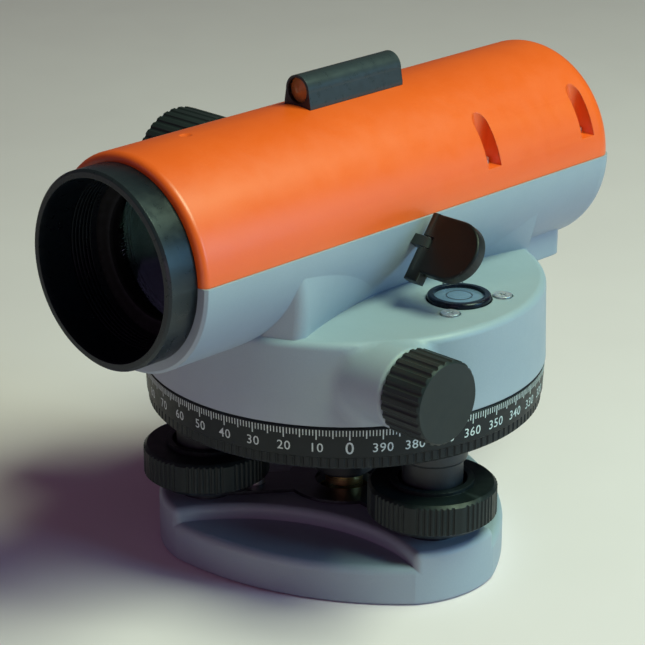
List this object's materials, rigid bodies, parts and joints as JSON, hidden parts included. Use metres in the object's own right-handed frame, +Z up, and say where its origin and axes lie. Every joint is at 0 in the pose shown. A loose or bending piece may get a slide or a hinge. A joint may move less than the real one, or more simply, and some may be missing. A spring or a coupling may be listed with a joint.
{
  "type": "automatic level",
  "caption": "Surveyor's automatic level: telescope housing turning on a graduated circle above a base with footscrews, with peep sight, circular bubble and folding mirror.",
  "frame": {"origin": "middle of the base plate's flat underside, on the vertical axis and on the tripod screw's axis", "axes": "+Z up along the vertical axis; +Y back along the telescope to the eyepiece, so the objective points along -Y; +X to the side of the circular bubble and its mirror; the focus knob is on -X"},
  "size_m": [0.1368, 0.19, 0.1436],
  "materials": {
    "grey_paint": "satin grey-blue casting paint, faintly textured",
    "orange_paint": "satin orange paint",
    "black_casting": "semi-matt black paint on a casting",
    "black_anodised": "black anodised turning",
    "black_knob": "black moulded grip",
    "circle_black": "semi-matt black, engraved and filled white",
    "steel": "turned bright steel",
    "blued_steel": "blued spring steel",
    "screw_steel": "nickelled screw",
    "brass": "turned brass",
    "alloy": "machined light alloy",
    "coated_glass": "coated optical glass",
    "vial_glass": "glass vial filled with pale liquid",
    "mirror_silver": "front-silvered mirror",
    "magnet": "sintered magnet"
  },
  "bodies": {
    "base": {"base_plate": "grey_paint", "thread_insert": "brass", "spring_plate": "blued_steel", "spring_plate_screws": "screw_steel"},
    "footscrew_a": {"footscrew_knob_a": "black_knob", "footscrew_spindle_a": "steel"},
    "footscrew_b": {"footscrew_knob_b": "black_knob", "footscrew_spindle_b": "steel"},
    "footscrew_c": {"footscrew_knob_c": "black_knob", "footscrew_spindle_c": "steel"},
    "link": {"centre_link": "brass"},
    "head": {"levelling_head": "black_casting", "axis_bush": "brass"},
    "circle": {"graduated_circle": "circle_black"},
    "clutch": {"worm_wheel": "brass", "clutch_washer": "steel"},
    "housing": {"lower_housing": "grey_paint", "upper_cover": "orange_paint", "cover_screws": "screw_steel", "objective_hood": "black_anodised", "objective_cell": "black_anodised", "objective_lens_front": "coated_glass", "objective_lens_rear": "coated_glass", "telescope_chassis": "black_anodised", "focus_bush": "black_anodised", "compensator_cage": "alloy", "roof_prisms": "coated_glass", "damping_magnet": "magnet", "reticle_cell": "black_anodised", "reticle": "coated_glass", "eyepiece_socket": "black_anodised", "axis_spindle": "steel", "axis_nut": "steel", "bubble_holder": "black_anodised", "bubble_vial": "vial_glass", "bubble_screws": "screw_steel", "tangent_bushes": "brass", "mirror_bracket": "black_anodised", "mirror_pin": "steel", "sight_body": "black_anodised", "sight_lens": "coated_glass"},
    "mirror": {"mirror_frame": "black_anodised", "mirror_glass": "mirror_silver"},
    "tangent": {"tangent_shaft": "steel", "tangent_knob_near": "black_knob", "tangent_knob_far": "black_knob"},
    "focus": {"focus_shaft": "steel", "focus_knob": "black_knob"},
    "focus_slide": {"focusing_cell": "black_anodised", "focusing_lens": "coated_glass"},
    "dioptre": {"dioptre_ring": "black_knob"},
    "eyepiece": {"eyepiece_cell": "black_anodised", "eyepiece_lens": "coated_glass"},
    "pendulum": {"pendulum_frame": "alloy", "pendulum_prism": "coated_glass", "damper_vane": "steel", "suspension_wire": "steel"}
  },
  "joints": [
    {"name": "footscrew_a_turn", "type": "hinge", "parent": "base", "child": "footscrew_a", "pos_m": [0.04026, -0.00595, 0.0106], "axis": [0, 0, 1], "range_deg": [-380, 380]},
    {"name": "footscrew_b_turn", "type": "hinge", "parent": "base", "child": "footscrew_b", "pos_m": [-0.01498, 0.03784, 0.0106], "axis": [0, 0, 1], "range_deg": [-330, 330]},
    {"name": "footscrew_c_turn", "type": "hinge", "parent": "base", "child": "footscrew_c", "pos_m": [-0.02528, -0.0319, 0.0106], "axis": [0, 0, 1], "range_deg": [-330, 330]},
    {"name": "tilt_a", "type": "hinge", "parent": "base", "child": "link", "pos_m": [-0.02013, 0.00297, 0.0106], "axis": [-0.1461, -0.9893, 0], "range_deg": [-0.79, 0.79]},
    {"name": "tilt_bc", "type": "hinge", "parent": "link", "child": "head", "pos_m": [0, 0, 0.0106], "axis": [0.9893, -0.1461, 0], "range_deg": [-1.19, 1.19]},
    {"name": "circle_turn", "type": "hinge", "parent": "head", "child": "circle", "pos_m": [0, 0, 0.05], "axis": [0, 0, 1], "continuous": true},
    {"name": "coarse_turn", "type": "hinge", "parent": "head", "child": "clutch", "pos_m": [0, 0, 0.07], "axis": [0, 0, 1], "continuous": true},
    {"name": "fine_turn", "type": "hinge", "parent": "clutch", "child": "housing", "pos_m": [0, 0, 0.07], "axis": [0, 0, 1], "continuous": true},
    {"name": "tangent_turn", "type": "hinge", "parent": "housing", "child": "tangent", "pos_m": [0, -0.032, 0.0705], "axis": [1, 0, 0], "continuous": true},
    {"name": "mirror_fold", "type": "hinge", "parent": "housing", "child": "mirror", "pos_m": [0.0342, -0.0025, 0.0991], "axis": [0, 0.6, 0.8], "range_deg": [-88, 0]},
    {"name": "focus_turn", "type": "hinge", "parent": "housing", "child": "focus", "pos_m": [-0.0385, -0.0128, 0.10525], "axis": [1, 0, 0], "range_deg": [-101, 101]},
    {"name": "focus_travel", "type": "slide", "parent": "housing", "child": "focus_slide", "axis": [0, 1, 0], "range_m": [-0.007, 0.007]},
    {"name": "dioptre_turn", "type": "hinge", "parent": "housing", "child": "dioptre", "pos_m": [0, 0.0864, 0.10525], "axis": [0, 1, 0], "range_deg": [-150, 150]},
    {"name": "eyepiece_travel", "type": "slide", "parent": "housing", "child": "eyepiece", "axis": [0, 1, 0], "range_m": [-0.0013, 0.0013]},
    {"name": "pendulum_swing", "type": "hinge", "parent": "housing", "child": "pendulum", "pos_m": [0, 0.035, 0.119], "axis": [1, 0, 0], "range_deg": [-0.8, 0.8]}
  ],
  "couplings": [
    {"joint": "footscrew_a_turn", "follows": "tilt_a", "ratio": -479.48},
    {"joint": "footscrew_b_turn", "follows": "tilt_bc", "ratio": -276.83},
    {"joint": "footscrew_c_turn", "follows": "tilt_bc", "ratio": 276.83},
    {"joint": "tangent_turn", "follows": "fine_turn", "ratio": 60},
    {"joint": "focus_turn", "follows": "focus_travel", "rad_per_m": 250},
    {"joint": "dioptre_turn", "follows": "eyepiece_travel", "rad_per_m": 2000}
  ]
}
